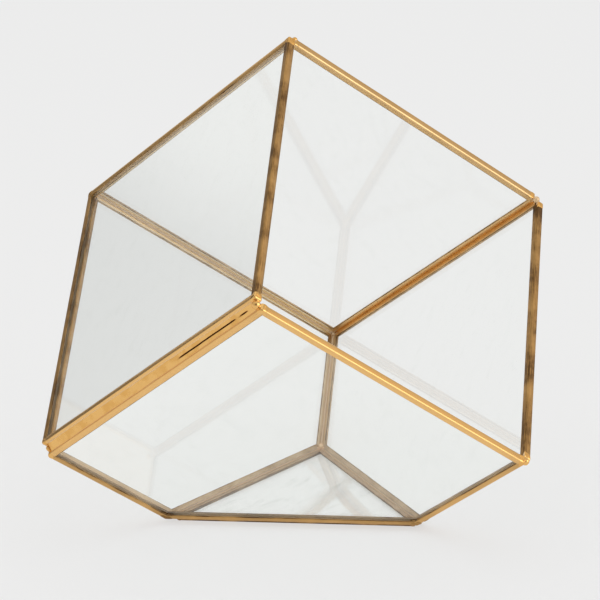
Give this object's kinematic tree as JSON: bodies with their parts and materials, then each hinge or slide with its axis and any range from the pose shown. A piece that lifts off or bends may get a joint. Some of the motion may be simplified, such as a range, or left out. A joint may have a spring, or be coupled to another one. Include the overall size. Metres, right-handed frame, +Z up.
{
  "type": "geometric glass terrarium",
  "caption": "Empty glass terrarium: a brass-edged cube standing on one corner, which is cut off level as a triangular foot, with one upper face open for planting.",
  "frame": {"origin": "middle of the bounding box's base, on the surface that the triangular foot stands on", "axes": "+Z up; the open face looks towards -Y and up; the part is mirror-symmetric about X = 0, but for the edges of three panes that lie 1 to 2 mm out of place"},
  "size_m": [0.2066, 0.2378, 0.206],
  "materials": {
    "glass": "clear float glass, polished, faint green in its edges",
    "brass": "drawn and folded sheet, satin, lightly tarnished in places",
    "solder": "pale gold-plated solder, uneven and bright"
  },
  "bodies": {
    "root": {"bead_back": "solder", "bead_foot_front": "solder", "bead_foot_left": "solder", "bead_foot_right": "solder", "bead_left": "solder", "bead_mouth_front": "solder", "bead_mouth_left": "solder", "bead_mouth_right": "solder", "bead_right": "solder", "bead_top": "solder", "channel_back_back_right": "brass", "channel_back_foot_left_left": "brass", "channel_back_foot_right_foot_left": "brass", "channel_back_left_back": "brass", "channel_back_right_foot_right": "brass", "channel_foot_foot_front_foot_left": "brass", "channel_foot_foot_left_foot_right": "brass", "channel_foot_foot_right_foot_front": "brass", "channel_lower_left_foot_front_mouth_front": "brass", "channel_lower_left_foot_left_foot_front": "brass", "channel_lower_left_left_foot_left": "brass", "channel_lower_left_mouth_front_mouth_left": "brass", "channel_lower_left_mouth_left_left": "brass", "channel_lower_right_foot_front_foot_right": "brass", "channel_lower_right_foot_right_right": "brass", "channel_lower_right_mouth_front_foot_front": "brass", "channel_lower_right_mouth_right_mouth_front": "brass", "channel_lower_right_right_mouth_right": "brass", "channel_upper_left_back_left": "brass", "channel_upper_left_left_mouth_left": "brass", "channel_upper_left_mouth_left_top": "brass", "channel_upper_left_top_back": "brass", "channel_upper_right_back_top": "brass", "channel_upper_right_mouth_right_right": "brass", "channel_upper_right_right_back": "brass", "channel_upper_right_top_mouth_right": "brass", "glass_back": "glass", "glass_foot": "glass", "glass_lower_left": "glass", "glass_lower_right": "glass", "glass_upper_left": "glass", "glass_upper_right": "glass", "seam_back_left": "solder", "seam_foot_front_foot_right": "solder", "seam_foot_front_mouth_front": "solder", "seam_foot_left_foot_front": "solder", "seam_foot_right_foot_left": "solder", "seam_foot_right_right": "solder", "seam_left_foot_left": "solder", "seam_left_mouth_left": "solder", "seam_mouth_right_right": "solder", "seam_right_back": "solder", "seam_top_back": "solder"}
  },
  "joints": []
}
